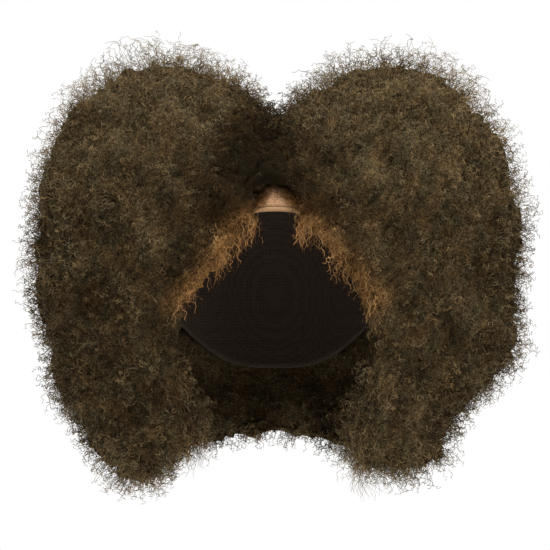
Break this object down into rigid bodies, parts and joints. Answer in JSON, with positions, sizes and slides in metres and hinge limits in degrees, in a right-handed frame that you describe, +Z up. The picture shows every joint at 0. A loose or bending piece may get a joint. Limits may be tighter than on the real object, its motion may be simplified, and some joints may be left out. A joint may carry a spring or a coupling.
{
  "type": "wig",
  "caption": "Full afro wig of kinky dark brown hair in round puffs either side of a centre parting, on a net cap with a sheer lace front, worn on the head.",
  "frame": {"origin": "inside the crown of the net cap, where the top of the head bears", "axes": "+Z up, the face looks along -Y, +X is the wearer's left"},
  "size_m": [0.3521, 0.2785, 0.3097],
  "materials": {
    "cap_net": "dark brown stretch net, matt",
    "front_lace": "sheer tan lace, matt",
    "hem_tape": "folded tan tape, matt",
    "hair": "frizzy dark brown hair, soft sheen"
  },
  "bodies": {
    "root": {"wig_cap": "cap_net", "lace_front": "front_lace", "front_hem": "hem_tape", "hair_left": "hair", "hair_right": "hair"}
  },
  "joints": []
}
